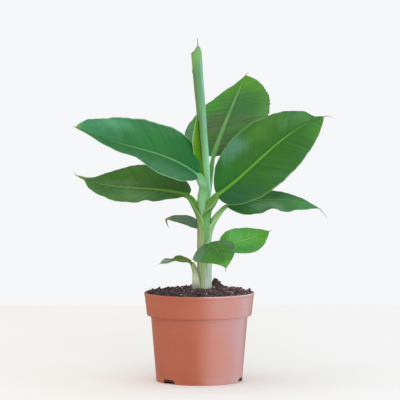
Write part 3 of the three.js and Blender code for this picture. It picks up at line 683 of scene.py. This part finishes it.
def soil_material(name, dark, light):
    surface = Surface(name, Specular_IOR_Level=0.25)
    point = surface.point
    grit = point.grain(1500, 4, 0.7)
    lumps = (point.grain(210, 5, 0.65) + grit) * 0.5
    colour = lumps.between(0.38, 0.66).mix(dark, light)
    colour = shade(colour, point.grain(55, 2).between(0.35, 0.62, 0.8, 1.45))
    # Painted light: the soil grows lighter towards the right of the pot.
    colour = shade(colour, point.axis("X").between(-0.04, 0.04, 0.84, 1.5))
    return surface.finish(colour, grit.spread(0.75, 0.98), lumps, 0.0008)


# ---- leaves ----------------------------------------------------------------

def half_width(half, t):
    width, widest, taper = half
    inward = np.sqrt(np.clip(1 - (1 - t / widest) ** 2, 0, 1))
    outward = np.clip(1 - ((t - widest) / (1 - widest)) ** 2, 0, 1)
    return width * np.where(t < widest, inward, outward ** taper)


def blade_axes(leaf, t):
    """Directions along, left of and up from the midrib, with the leaf's roll."""
    along = heading(leaf.bearing, through(leaf.climb, t))
    level = heading(leaf.bearing + 90, 0 * t)
    raised = np.cross(along, level)
    roll = math.radians(leaf.roll)
    left = math.cos(roll) * level + math.sin(roll) * raised
    return along, left, math.cos(roll) * raised - math.sin(roll) * level


def rib_points(leaf, t):
    """The midrib from a foot at the origin."""
    fine = np.linspace(0, 1, 401)
    middles = (fine[1:] + fine[:-1]) / 2
    steps = heading(leaf.bearing, through(leaf.climb, middles))
    path = np.concatenate([[[0, 0, 0]], np.cumsum(steps, 0) * leaf.length / len(middles)])
    return np.stack([np.interp(t, fine, path[:, axis]) for axis in range(3)], -1)


def crimping(leaf, side, t):
    """The uneven crimping of a margin, fading out at both ends of its stretch."""
    if not leaf.crimp or leaf.crimp[0] != side:
        return 0 * t
    _, start, end, depth, pitch = leaf.crimp
    here = smoothstep(t, start, start + 0.06) * (1 - smoothstep(t, end - 0.06, end))
    turns = 2 * np.pi * (t * leaf.length / pitch + 0.45 * np.sin(17 * t))
    return depth * here * np.sin(turns) * (0.6 + 0.4 * np.sin(41 * t + 1))


def half_blade(leaf, side, t, s):
    """One half's middle surface on a grid: points from the foot, normals, distance out."""
    along, left, up = (axes[:, None] for axes in blade_axes(leaf, t))
    outward = 1 if side == LEFT else -1
    width = half_width(leaf.halves[side], t) + 0.6 * crimping(leaf, side, t)
    for where, place, spread, _, inset in leaf.ruffles:
        if where == side:
            width = width - inset * bump(t, place, spread)
    phase = leaf.bearing + 2 * side
    ragged = np.sin(31 * t + phase) + 0.7 * np.sin(57 * t + 2 * phase) + 0.5 * np.sin(97 * t + phase)
    size = min(1.0, leaf.length / BLADE.full_size)
    width = width + BLADE.raggedness * size * ragged * np.minimum(1, width / 12)
    width = np.maximum(width, BLADE.least_half_width)[:, None]
    by_foot = np.exp(-t / 0.08)[:, None] * smoothstep(width, 0, 8)
    back = (leaf.lobes[side] * by_foot * np.sin(np.pi / 2 * s))[..., None]
    fold = np.radians(lerp(*leaf.trough, t))[:, None]
    curl = math.radians(leaf.curl)
    angle = fold + curl * (s[1:] + s[:-1]) / 2
    step = width * np.diff(s)
    start = np.zeros_like(width)
    lateral = np.concatenate([start, np.cumsum(np.cos(angle) * step, 1)], 1)[..., None]
    raised = np.concatenate([start, np.cumsum(np.sin(angle) * step, 1)], 1)[..., None]
    slope = (fold + curl * s)[..., None]
    points = rib_points(leaf, t)[:, None] + outward * lateral * left + raised * up - back * along
    return points, np.cos(slope) * up - outward * np.sin(slope) * left, width * s


def lift_of(leaf, side, t, s, out, vein, waves):
    """How far the blade stands off its plain surface: crimping, ruffles, waves and pleats."""
    t = t[:, None]
    size = min(1.0, leaf.length / BLADE.full_size)
    lift = 0.3 * crimping(leaf, side, t) * smoothstep(s, 0.82, 1.0)
    for where, place, spread, height, _ in leaf.ruffles:
        if where == side:
            lift += height * bump(t, place, spread) * s ** 2
    for pace, phase, share in waves:
        lift += BLADE.wave * size * share * np.sin(2 * np.pi * (pace * t + phase)) * s ** 2.2
    settled = smoothstep(out, 1.5, 8) * smoothstep(1 - s, 0, 0.1)
    pleat = np.sin(2 * np.pi * vein / BLADE.pleat_pitch + 1.7 * np.sin(vein / 11))
    return lift + BLADE.pleat_height * size * pleat * settled


def foot_of(name, leaf):
    """Where the blade starts: its plain outline is centred on the CAD blade's box."""
    plain = Values(**{**vars(leaf), "ruffles": (), "lobes": (0, 0), "crimp": None})
    t, s = np.linspace(0, 1, 60), np.linspace(0, 1, 12)
    halves = [half_blade(plain, side, t, s)[0].reshape(-1, 3) for side in (LEFT, RIGHT)]
    length, bearing, climb = leaf.tail
    tip = rib_points(leaf, np.array([1.0])) + length * heading(bearing, climb)
    reach = np.concatenate([*halves, tip])
    low, high = box_of(f"leaf_{name}")
    return (low + high) / 2 - (reach.min(0) + reach.max(0)) / 2


def blade_shape(leaf, foot, seed):
    random = np.random.default_rng(seed)
    rows = int(BLADE.rows * max(0.45, leaf.length / 149))
    columns = int(BLADE.columns * (1 if leaf.length > 80 else 0.7))
    t = (1 - np.cos(np.linspace(0, np.pi, rows))) / 2
    even = np.linspace(0, 1, columns + 1)
    s = even - 0.7 * np.sin(2 * np.pi * even) / (2 * np.pi)
    rib_half = lerp(*leaf.rib, t)[:, None]
    half_thick = BLADE.thickness / 2 * lerp(1, BLADE.edge_share, smoothstep(s, 0.8, 1.0))[:, None]
    tops, bottoms, veins, places = [], [], [], []
    for side in (LEFT, RIGHT):
        waves = [(pace, random.random(), random.uniform(0.4, 1) / pace ** 0.5)
                 for pace in (1.3, 2.4, 3.9, 6.1)]
        points, normals, out = half_blade(leaf, side, t, s)
        vein = t[:, None] * leaf.length - leaf.slants[side] * out
        lift = lift_of(leaf, side, t, s, out, vein, waves)
        lift -= BLADE.groove * rib_half * np.exp(-((out / rib_half) ** 2))
        middle = points + lift[..., None] * normals + foot
        tops.append(middle + half_thick * normals)
        bottoms.append(middle - half_thick * normals)
        veins.append(grid(vein + (900 if side == LEFT else 0), out / rib_half))
        places.append(grid(t[:, None], s * (1 if side == LEFT else -1)))

    def ring(above, below):
        top = [above[LEFT][:, ::-1], above[RIGHT][:, 1:]]
        bottom = [below[RIGHT][:, ::-1], below[LEFT][:, 1:]]
        return np.concatenate(top + bottom, 1)

    picks = np.repeat([0, 1], 2 * columns + 1)
    picks[2 * columns] = 1
    return skin(ring(tops, bottoms), picks, Veins=ring(veins, veins), Place=ring(places, places))


# ---- stem, sheaths and stalks ----------------------------------------------

stem_low, stem_high = (corner[2] for corner in box_of("pseudostem"))
STEM = Values(axis_x=(5.7, 5.2), radius=(8.2, 7.2), flatness=0.88)  # at the soil and the top


def up_stem(z):
    return np.clip((z - stem_low) / (stem_high - stem_low), 0, 1)


def stem_centre(z):
    return np.stack([lerp(*STEM.axis_x, up_stem(z)), 0 * z, z], -1)


def stem_radius(z):
    return lerp(*STEM.radius, up_stem(z))


def section(spine, across, inward, radius, half_angle, thickness, fill):
    """One closed section of a channel: an arc outside, and inside an arc or, where it is filled,
    a chord. All arguments have one row for each section."""
    span = np.linspace(-1, 1, LIMB.points)
    turn = span * half_angle[:, None]
    sine, cosine = np.sin(turn)[..., None], np.cos(turn)[..., None]
    radius, fill, thickness = (part[:, None, None] for part in (radius, fill, thickness))
    across, inward = across[:, None], inward[:, None]
    middle = spine[:, None] + inward * radius
    direction = sine * across - cosine * inward
    wall = lerp(LIMB.edge_thickness, thickness, 1 - np.abs(span)[:, None] ** 2.5)
    arc = middle + (radius - np.minimum(wall, radius * 0.8)) * direction
    level = -np.cos(half_angle)[:, None, None]
    chord = middle + radius * (0.92 * sine * across + level * inward)
    inner = lerp(arc, chord, fill)
    return np.concatenate([middle + radius * direction, inner[:, ::-1]], 1)


def limb_shape(leaf, foot):
    """A sheath round the stem, the free stalk and the keel under the midrib, in one limb."""
    rise, run, slope, width, lateness = leaf.stalk
    end_radius = width / 2
    up_at_foot = blade_axes(leaf, np.array([0.0]))[2][0]
    end = foot - up_at_foot * (leaf.rib[0] * BLADE.groove + end_radius)

    if leaf.sheath:
        bearing, wrap, base, leaves, depth = leaf.sheath
        outside = heading(bearing, 0.0)
        heights = np.linspace(max(base, SOIL.crown - 2), leaves, LIMB.sheath_rows)
        freed = smoothstep(heights, leaves - 45, leaves - 10)
        radii = stem_radius(heights) - depth * (1 - freed)
        on_stem = stem_centre(heights) + outside * radii[:, None]
    else:
        wrap = LIMB.root_angle
        outside = heading(leaf.bearing, 0.0)
        heights = np.linspace(SOIL.crown - 3, SOIL.crown, 4)
        radii = np.full(4, leaf.root_width / 2)
        on_stem = grid(*leaf.root, heights)
    start_angle = math.radians(wrap)
    start = on_stem[-1]
    free = np.linspace(0, 1, LIMB.free_rows + 1)[1:]
    slope = math.radians(slope)
    arrival = unit((end - start) * [1, 1, 0]) * math.cos(slope) + np.array([0, 0, math.sin(slope)])
    handles = start, start + np.array([0, 0, rise]), end - arrival * run, end
    shares = (1 - free) ** 3, 3 * free * (1 - free) ** 2, 3 * free ** 2 * (1 - free), free ** 3
    loose = sum(share[:, None] * handle for share, handle in zip(shares, handles))
    t = np.linspace(0, 1, LIMB.rib_rows + 1)[1:]
    up = blade_axes(leaf, t)[2]
    rib_radius = lerp(*leaf.rib, t)
    taken = np.exp(-t / 0.05)
    keel_radius = lerp(rib_radius, end_radius, taken) * 0.96
    keel_radius = keel_radius * lerp(1, 0.45, smoothstep(t, 0.94, 1.0))
    drop = BLADE.groove * rib_radius + 0.12 * keel_radius
    keel = rib_points(leaf, t) + foot - up * (drop + keel_radius)[:, None]

    spine = np.concatenate([on_stem, loose, keel])
    for _ in range(LIMB.smoothing):
        spine[1:-1] = (spine[:-2] + 2 * spine[1:-1] + spine[2:]) / 4
    tangent = unit(np.gradient(spine, axis=0))
    turned = smoothstep(free, 0.0, 1.0)[:, None]
    inward = np.concatenate([
        np.broadcast_to(-outside, on_stem.shape), lerp(-outside, up_at_foot, turned), up])
    inward = unit(inward - tangent * np.sum(inward * tangent, -1, keepdims=True))

    narrowing = free ** lateness
    sheathed, ribbed = np.ones(len(radii)), np.ones(len(t))
    channel = math.radians(LIMB.channel)
    angle = np.concatenate([
        sheathed * start_angle, lerp(start_angle, channel, narrowing), lerp(np.pi / 2, channel, taken)])
    radius = np.concatenate([radii, lerp(radii[-1], end_radius, narrowing), keel_radius])
    thickness = np.concatenate([
        sheathed * LIMB.sheath_thickness, lerp(LIMB.sheath_thickness, LIMB.stalk_thickness, free),
        ribbed * LIMB.stalk_thickness])
    fill = np.concatenate([
        0 * sheathed, smoothstep(free, 0.0, 0.5) * 0.95, lerp(0.95, 1.0, 1 - taken)])
    rings = section(spine, np.cross(tangent, inward), inward, radius, angle, thickness, fill)

    reach = np.concatenate([[0], np.cumsum(np.linalg.norm(np.diff(spine, axis=0), axis=1))])
    at_foot = reach[len(radii) + len(free) - 1]
    way = np.where(reach < at_foot, reach / at_foot, 1 + (reach - at_foot) / (reach[-1] - at_foot))
    span = np.linspace(-1, 1, LIMB.points)
    return skin(rings, Place=grid(way[:, None], np.concatenate([span, span[::-1]])))


def core_shape():
    """What is left inside the sheaths: a ridged core that reaches just past the top of the stem."""
    heights = np.linspace(stem_low - 1, stem_high + 2, 40)
    turn = circle(48)
    ridges = 0.15 * np.sin(3 * turn + heights[:, None] / 30)
    radius = (stem_radius(heights) - 2.9)[:, None] + ridges
    ring = np.stack([np.cos(turn), STEM.flatness * np.sin(turn), 0 * turn], -1)
    return skin(stem_centre(heights)[:, None] + radius[..., None] * ring)


# ---- the rolled leaf -------------------------------------------------------

def sheet(points, half, place):
    """A thin sheet on both sides of a grid of points, with its place map."""
    rings = np.concatenate([points + half, (points - half)[:, ::-1]], 1)
    return skin(rings, Place=np.concatenate([place, place[:, ::-1]], 1))


def roll_axis(z, foot_z):
    return lerp(FURLED.foot_x, FURLED.top_x, (z - foot_z) / (FURLED.top_z - foot_z))


def furled_shape():
    foot_z = box_of("furled_leaf")[0][2]
    share = np.linspace(0, 1, FURLED.rows)[:, None]
    wound = np.linspace(0, 1, FURLED.columns)[None, :]
    outer = np.interp(share, np.linspace(0, 1, len(FURLED.radii)), FURLED.radii)
    back_turns = (1 - wound) * FURLED.turns
    radius = outer - FURLED.pitch * back_turns
    bearing = np.radians(through(FURLED.edge_bearing, share)) + 2 * np.pi * back_turns
    top_x = FURLED.top_x + radius[-1:] * np.cos(bearing[-1:])
    top = FURLED.top_z + FURLED.point_rise * bump(top_x, FURLED.point_x, FURLED.point_spread)
    z = lerp(foot_z - 14, top + 2.5 * np.minimum(back_turns, 1.2), share)
    swell = 0.12 * np.sin(z / 9 + 3 * bearing)
    swell = swell + 0.9 * bump(z, FURLED.nick_z, 3) * smoothstep(wound, 0.9, 1.0)
    direction = heading(np.degrees(bearing), 0)
    middle = grid(roll_axis(z, foot_z), FURLED.y, z) + (radius + swell)[..., None] * direction
    half = FURLED.thickness / 2 * lerp(1, 0.4, smoothstep(wound, 0.96, 1.0))[..., None]
    return sheet(middle, half * direction, grid(share, back_turns))


def flap_shape():
    """The edge that has come loose low on the rolled leaf's left, cupped towards the front."""
    share = np.linspace(0, 1, 60)[:, None]
    across = np.linspace(0, 1, 18)[None, :]
    z = lerp(FLAP.foot_z, FLAP.top_z, share)
    reach = 7.8 * bump(share, 0.6, np.where(share < 0.6, 0.5, 0.3)) - 1.2
    bearing = np.radians(lerp(*FLAP.bearings, across))
    off_roll = lerp(0.45, -0.4, smoothstep(share, 0.85, 1.0))
    radius = lerp(4.5, 5.6, share) + off_roll + reach * across ** 1.5
    x = roll_axis(z, FLAP.roll_foot_z) + radius * np.cos(bearing)
    y = FURLED.y + radius * np.sin(bearing) - 2.2 * across ** 3
    points = grid(x, y, z)
    normal = unit(np.cross(np.gradient(points, axis=0), np.gradient(points, axis=1)))
    return sheet(points, FLAP.half_thickness * normal, grid(share, across))


def bristle_shape(start, direction, length, thick, bend):
    """A thin drying tip: a tapering thread with a slight bend."""
    share = np.linspace(0, 1, 12)[:, None]
    path = start + share * length * direction + share ** 2 * np.array(bend)
    side = unit(np.cross(direction, [0.3, 0.9, 0.2]))
    turn = circle(8)[:, None]
    ring = np.cos(turn) * side + np.sin(turn) * np.cross(direction, side)
    return skin(path[:, None] + (thick * lerp(1, 0.25, share))[..., None] * ring)


# ---- pot and soil ----------------------------------------------------------

pot_low, pot_high = box_of("pot")
POT = Values(
    height=pot_high[2], rim_radius=(pot_high[0] - pot_low[0]) / 2, band_height=25, band_radius=57,
    shoulder_radius=52.8, foot_radius=46.8, wall=1.6, floor=2, sides=192,
)
POT.band_foot = POT.height - POT.band_height
NOTCH = Values(width=17, height=5, depth=5, rounding=1.4, bearings=(225, 345, 105))
SOIL = Values(
    edge=96.7, tilt=0.012, crown=100.8, crown_radius=15, mound=(17.5, 9), mound_height=9,
    mound_radius=7, rings=70, sides=220, gap=0.3,
    on_mound=0.16, mound_spread=5.5,  # share of the loose bits that lie there, and how widely
)


def rounded(corners, steps=5):
    """A profile with each (radius, height, rounding) corner eased by its own rounding."""
    points = []
    for k, (r, z, ease) in enumerate(corners):
        here = np.array([r, z], float)
        if not ease:
            points.append(here)
            continue
        first, last = (here + unit(np.array(corners[k + side][:2]) - here) * ease for side in (-1, 1))
        for step in np.linspace(0, 1, steps):
            points.append(first * (1 - step) ** 2 + here * 2 * step * (1 - step) + last * step ** 2)
    return np.array(points)


def turned(profile, sides):
    """Rings of the profile turned about +Z."""
    radius, z = profile[:, :1], profile[:, 1:]
    return grid(radius * np.cos(circle(sides)), radius * np.sin(circle(sides)), z)


def inner_radius(z):
    low, high, share = POT.foot_radius, POT.shoulder_radius, z / POT.band_foot
    if z > POT.band_foot:
        low, high = POT.band_radius, POT.rim_radius
        share = (z - POT.band_foot) / POT.band_height
    return lerp(low, high, share) - POT.wall


def pot_shape():
    inner_step = POT.band_foot + POT.wall
    return skin(turned(rounded([
        (0.02, 0, 0),
        (POT.foot_radius - 4, 0, 0.3),
        (POT.foot_radius, 0, 0.9),
        (POT.shoulder_radius, POT.band_foot, 0.5),
        (POT.band_radius, POT.band_foot, 1.0),
        (POT.rim_radius - 0.5, POT.height - 3.4, 0.5),
        (POT.rim_radius, POT.height - 2.9, 0.3),
        (POT.rim_radius, POT.height, 0.75),
        (POT.rim_radius - POT.wall, POT.height, 0.7),
        (inner_radius(inner_step), inner_step, 0.5),
        (POT.shoulder_radius - POT.wall, inner_step, 0.5),
        (inner_radius(POT.floor), POT.floor, 1.0),
        (0.02, POT.floor, 0),
    ]), POT.sides))


def cut_notches(pot):
    for bearing in NOTCH.bearings:
        shape = bmesh.new()
        bmesh.ops.create_cube(shape, size=1)
        size = Vector((NOTCH.depth * 2, NOTCH.width, NOTCH.height * 2)) * METRES
        bmesh.ops.scale(shape, verts=shape.verts, vec=size)
        long_edges = [e for e in shape.edges
                      if abs((e.verts[0].co - e.verts[1].co).x) > 0.5 * METRES]
        bmesh.ops.bevel(shape, geom=long_edges, offset=NOTCH.rounding * METRES, segments=4,
                        affect="EDGES")
        mesh = bpy.data.meshes.new("notch_cutter")
        shape.to_mesh(mesh)
        shape.free()
        cutter = add_object("notch_cutter", mesh)
        cutter.rotation_euler.z = math.radians(bearing)
        cutter.location = heading(bearing, 0) * POT.foot_radius * METRES
        bpy.context.view_layer.update()
        modifier = pot.modifiers.new("notch", "BOOLEAN")
        modifier.operation = "DIFFERENCE"
        modifier.solver = "EXACT"
        modifier.object = cutter
        graph = bpy.context.evaluated_depsgraph_get()
        graph.update()
        cut = bpy.data.meshes.new_from_object(pot.evaluated_get(graph))
        pot.modifiers.clear()
        pot.data = cut
        bpy.data.objects.remove(cutter)
    pot.data.uv_layers.remove(pot.data.uv_layers["OFBake"])  # the notches have no place in it
    pot.data.set_sharp_from_angle(angle=math.radians(40))


def soil_height(x, y):
    away = np.hypot(x - STEM.axis_x[0], y)
    to_edge = smoothstep(away, SOIL.crown_radius, 60)
    from_mound = np.hypot(x - SOIL.mound[0], y - SOIL.mound[1])
    heap = SOIL.mound_height * bump(from_mound, 0, SOIL.mound_radius)
    heap = heap * smoothstep(away, SOIL.crown_radius - 5, SOIL.crown_radius)
    ripple = np.sin(0.31 * x + 0.6) * np.cos(0.27 * y) + 0.6 * np.sin(0.23 * (x - y))
    edge = SOIL.edge + SOIL.tilt * y
    return lerp(SOIL.crown, edge, to_edge) + 0.8 * ripple * np.minimum(1, to_edge * 3) + heap


def rough(x, y, size, depth):
    """Fractal unevenness at each point."""
    flat = [noise.fractal(Vector((a / size, b / size, 0.7)), 0.9, 2.1, 5)
            for a, b in zip(x.ravel(), y.ravel())]
    return depth * np.array(flat).reshape(x.shape)


def soil_shape():
    floor, ledge = POT.floor + SOIL.gap, POT.band_foot + POT.wall + SOIL.gap
    below = np.array([
        (0.05, floor),
        (inner_radius(POT.floor) - SOIL.gap, floor),
        (POT.shoulder_radius - POT.wall - SOIL.gap, ledge),
        (inner_radius(ledge) - SOIL.gap, ledge),
    ])
    rings = list(turned(below, SOIL.sides))
    turn = circle(SOIL.sides)
    outer = inner_radius(SOIL.edge) - SOIL.gap
    for share in np.linspace(1, 0.001, SOIL.rings):
        x, y = outer * share * np.cos(turn), outer * share * np.sin(turn)
        fade = min(1.0, (1 - share) * 8 + 0.25)
        z = soil_height(x, y) + fade * (rough(x, y, 5.5, 1.0) + rough(x, y, 1.7, 0.45))
        rings.append(grid(x, y, z))
    return skin(np.array(rings))


def anywhere(random, outer):
    """A random place in a circle round the pot's axis."""
    away, turn = outer * math.sqrt(random.random()), random.uniform(0, 2 * math.pi)
    return away * math.cos(turn), away * math.sin(turn)


def scattered(random, count, sizes, sink, squash):
    """Small uneven lumps lying on the soil, thicker on the mound."""
    ball = bmesh.new()
    bmesh.ops.create_icosphere(ball, subdivisions=1, radius=1)
    corners = np.array([v.co for v in ball.verts])
    triangles = np.array([[v.index for v in f.verts] for f in ball.faces])
    ball.free()
    outer = inner_radius(SOIL.edge) - 1.2
    shapes = []
    while len(shapes) < count:
        if random.random() < SOIL.on_mound:
            x, y = np.array(SOIL.mound) + random.normal(0, SOIL.mound_spread, 2)
        else:
            x, y = anywhere(random, outer)
        size = sizes[0] * (sizes[1] / sizes[0]) ** (random.random() ** 2.2)
        past_edge = math.hypot(x, y) + size > outer + 1.6
        if past_edge or math.hypot(x - STEM.axis_x[0], y) < STEM.radius[0] + 0.4 * size:
            continue
        lump = corners * (1 + random.uniform(-0.28, 0.28, (len(corners), 1)))
        lump = lump * random.uniform(0.65, 1.25, 3)
        lump = lump @ np.linalg.qr(random.normal(size=(3, 3)))[0]
        lump = lump * size * np.array([1, 1, squash])
        lift = size * (sink + random.uniform(-0.2, 0.35))
        shapes.append(Values(points=lump + [x, y, soil_height(x, y) + lift], faces=triangles))
    return joined(shapes)


def fibres_shape(random, count):
    """Pale bits of root and straw lying in the soil."""
    shapes = []
    for _ in range(count):
        x, y = anywhere(random, inner_radius(SOIL.edge) - 4)
        start = np.array([x, y, soil_height(x, y) + 0.9])
        direction = heading(random.uniform(0, 360), random.uniform(-8, 38))
        length = random.uniform(2.0, 7.0)
        bend = random.uniform(-1.2, 1.2, 3)
        shapes.append(bristle_shape(start, direction, length, random.uniform(0.14, 0.34), bend))
    return joined(shapes)


# ---- building the plant ----------------------------------------------------

pot = make_piece("nursery_pot", pot_shape(), [pot_material()], ["pot"], 40)
cut_notches(pot)

dark_soil = soil_material("dark_soil", (42, 29, 36), (132, 103, 110))
make_piece("soil_bed", soil_shape(), [dark_soil], ["soil"], 180)
random = np.random.default_rng(11)
for name, count, sizes, sink, squash, material, dark, light in (
        ("soil_crumbs", 1700, (0.5, 2.1), 0.45, 0.75, "crumb_soil", (36, 25, 31), (120, 95, 99)),
        ("soil_flakes", 260, (0.4, 1.3), 0.8, 0.5, "pale_bits", (96, 76, 62), (150, 126, 104)),
        ("white_grains", 60, (0.5, 1.2), 0.9, 0.75, "white_grain", (196, 190, 182), (236, 232, 226))):
    bits = scattered(random, count, sizes, sink, squash)
    make_piece(name, bits, [soil_material(material, dark, light)], (), 180)
make_piece("soil_fibres", fibres_shape(random, 120),
           [soil_material("fibre", (104, 82, 64), (170, 148, 122))], (), 180)

make_piece("stem_core", core_shape(), [core_material()], ["pseudostem"])
make_piece("rolled_leaf", furled_shape(), [furled_material()], ["furled_leaf"])
make_piece("rolled_leaf_flap", flap_shape(), [flap_material()])

bristles = []
for seed, (name, leaf) in enumerate(LEAVES.items(), start=1):
    foot = foot_of(name, leaf)
    skins = [blade_material(name, leaf, "upper"), blade_material(name, leaf, "under")]
    make_piece(f"blade_{name}", blade_shape(leaf, foot, seed), skins, [f"leaf_{name}"])
    make_piece(f"limb_{name}", limb_shape(leaf, foot), [limb_material(name, leaf)],
               [f"stalk_{name}"])
    tip = rib_points(leaf, np.array([0.995]))[0] + foot
    length, bearing, _ = leaf.tail
    bristles.append(bristle_shape(
        tip, heading(bearing, leaf.tip_climb), length, leaf.tip_thick, leaf.tip_bend))
tip_of_roll = np.array([FURLED.point_x - 0.2, FURLED.y, FURLED.top_z + 5])
bristles.append(bristle_shape(tip_of_roll, heading(180, 82), 14.5, 0.9, (1.2, 0, 0)))
make_piece("leaf_tips", joined(bristles), [bristle_material()], (), 180)


# ---- stage, light and camera -----------------------------------------------

def looking(place, aim):
    return (Vector(aim) - Vector(place)).to_track_quat("-Z", "Y").to_euler()


def add_light(name, place, aim, size, energy):
    data = bpy.data.lights.new(name, "AREA")
    data.shape = "RECTANGLE"
    data.size, data.size_y = size
    data.energy = energy
    light = add_object(name, data)
    light.location = place
    light.rotation_euler = looking(place, aim)


def add_table():
    size, back = STAGE.table_size, STAGE.table_back
    corners = [(-size, back - size, 0), (size, back - size, 0), (size, back, 0), (-size, back, 0)]
    mesh = bpy.data.meshes.new("table")
    mesh.from_pydata(corners, [], [(0, 1, 2, 3)])
    surface = Surface("table_top", Specular_IOR_Level=0.0)
    # Painted light: the floor turns from a warm tint on the left to a bluish tint on the right.
    towards_bluish_light = surface.point.axis("X").between(-0.15, 0.2)
    tint = towards_bluish_light.mix((*STAGE.table, 1), (*STAGE.cool_table, 1))
    tint = shade(tint, surface.point.grain(3, 3).spread(1.0, 0.985))
    mesh.materials.append(surface.finish(tint, 0.7))
    table = add_object("table", mesh)
    table.visible_glossy = False


def set_world():
    """A pale wall to the camera, and an even studio glow for all other rays.

    The glow falls mostly from the left, but on the right is a bright panel for reflections only.
    """
    world = bpy.data.worlds.new("studio")
    world.use_nodes = True
    tree = world.node_tree
    tree.nodes.clear()

    def background(colour, strength):
        return add_node(tree, "ShaderNodeBackground", {"Color": (*colour, 1), "Strength": strength})

    def either(choice, first, second):
        return add_node(tree, "ShaderNodeMixShader", {0: choice, 1: first, 2: second})

    def is_ray(kind):
        return add_node(tree, "ShaderNodeLightPath", {}, f"Is {kind} Ray")

    direction = add_node(tree, "ShaderNodeTexCoord", {}, "Generated")
    towards = direction.add(
        "ShaderNodeVectorMath", {0: direction, 1: STAGE.panel_towards}, "Value",
        operation="DOT_PRODUCT")
    rightness = towards.between(STAGE.dim_until, STAGE.bright_from)
    shine = either(rightness, background((1.0, 0.96, 0.92), STAGE.left_shine),
                   background((0.48, 0.8, 1.0), STAGE.right_shine))
    glow = either(rightness, background((1.0, 0.99, 0.965), STAGE.left_glow),
                  background((0.93, 0.98, 1.0), STAGE.right_glow))
    unseen = either(is_ray("Glossy"), glow, shine)
    seen = either(is_ray("Camera"), unseen, background(STAGE.wall, 1))
    feed(tree.nodes.new("ShaderNodeOutputWorld").inputs["Surface"], seen)
    bpy.context.scene.world = world


def add_camera():
    data = bpy.data.cameras.new("camera")
    data.lens = CAMERA.lens
    data.sensor_width = 36
    data.clip_start, data.clip_end = 0.1, 30
    camera = add_object("camera", data)
    place = (CAMERA.x, -CAMERA.distance, CAMERA.height)
    camera.location = place
    camera.rotation_euler = looking(place, (CAMERA.x, 0, CAMERA.aim))
    bpy.context.scene.camera = camera


add_camera()
add_table()
set_world()
add_light("key", (0.4, -2.3, 1.4), (0, 0, 0.15), (1.6, 1.6), 14)
bpy.context.scene.view_settings.view_transform = "Standard"
bpy.context.scene.view_settings.look = "None"
